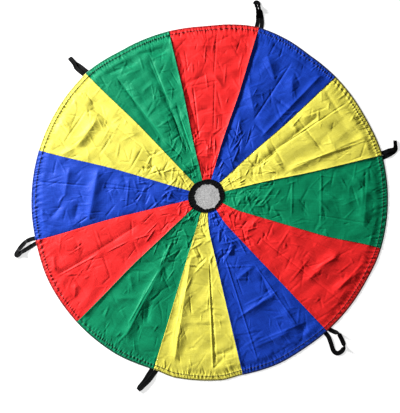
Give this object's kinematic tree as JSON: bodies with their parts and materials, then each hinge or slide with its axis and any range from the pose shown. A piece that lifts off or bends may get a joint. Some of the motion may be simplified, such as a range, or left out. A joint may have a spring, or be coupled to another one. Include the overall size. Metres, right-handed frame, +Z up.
{
  "type": "play parachute",
  "caption": "Round play parachute of coloured cloth gores laid flat, with a bound net vent in the middle and webbing loop handles round its hem.",
  "frame": {"origin": "on the floor under the middle of the vent, at the middle of the footprint", "axes": "+Z up, away from the floor; X along the two seams on which the canopy folds in half; +Y towards the half that folds over"},
  "size_m": [1.83, 2.0748, 0.0133],
  "materials": {
    "green_taffeta": "satin woven polyester",
    "yellow_taffeta": "satin woven polyester",
    "blue_taffeta": "satin woven polyester",
    "red_taffeta": "satin woven polyester",
    "black_tape": "matt woven tape",
    "grey_net": "knitted net",
    "black_webbing": "woven webbing"
  },
  "bodies": {
    "near_half": {"gore_07_blue": "blue_taffeta", "gore_08_red": "red_taffeta", "gore_09_green": "green_taffeta", "gore_10_yellow": "yellow_taffeta", "gore_11_blue": "blue_taffeta", "gore_12_red": "red_taffeta", "vent_ring_near": "black_tape", "vent_net_near": "grey_net", "handle_4_tail": "black_webbing", "handle_5_tail": "black_webbing", "handle_6_tail": "black_webbing"},
    "far_half": {"gore_01_green": "green_taffeta", "gore_02_yellow": "yellow_taffeta", "gore_03_blue": "blue_taffeta", "gore_04_red": "red_taffeta", "gore_05_green": "green_taffeta", "gore_06_yellow": "yellow_taffeta", "vent_ring_far": "black_tape", "vent_net_far": "grey_net", "handle_1_tail": "black_webbing", "handle_2_tail": "black_webbing", "handle_3_tail": "black_webbing"},
    "handle_1": {"handle_1_loop": "black_webbing"},
    "handle_2": {"handle_2_loop": "black_webbing"},
    "handle_3": {"handle_3_loop": "black_webbing"},
    "handle_4": {"handle_4_loop": "black_webbing"},
    "handle_5": {"handle_5_loop": "black_webbing"},
    "handle_6": {"handle_6_loop": "black_webbing"}
  },
  "joints": [
    {"name": "canopy_fold", "type": "hinge", "parent": "near_half", "child": "far_half", "pos_m": [0, 0, 0.0036], "axis": [1, 0, 0], "range_deg": [0, 140]},
    {"name": "handle_1_lift", "type": "hinge", "parent": "far_half", "child": "handle_1", "pos_m": [0.79241, 0.4575, 0.0023], "axis": [0.5, -0.866, 0], "range_deg": [0, 160]},
    {"name": "handle_2_lift", "type": "hinge", "parent": "far_half", "child": "handle_2", "pos_m": [0, 0.915, 0.0023], "axis": [1, 0, 0], "range_deg": [0, 160]},
    {"name": "handle_3_lift", "type": "hinge", "parent": "far_half", "child": "handle_3", "pos_m": [-0.79241, 0.4575, 0.0023], "axis": [0.5, 0.866, 0], "range_deg": [0, 160]},
    {"name": "handle_4_lift", "type": "hinge", "parent": "near_half", "child": "handle_4", "pos_m": [-0.79241, -0.4575, 0.0023], "axis": [-0.5, 0.866, 0], "range_deg": [0, 160]},
    {"name": "handle_5_lift", "type": "hinge", "parent": "near_half", "child": "handle_5", "pos_m": [0, -0.915, 0.0023], "axis": [-1, 0, 0], "range_deg": [0, 160]},
    {"name": "handle_6_lift", "type": "hinge", "parent": "near_half", "child": "handle_6", "pos_m": [0.79241, -0.4575, 0.0023], "axis": [-0.5, -0.866, 0], "range_deg": [0, 160]}
  ]
}
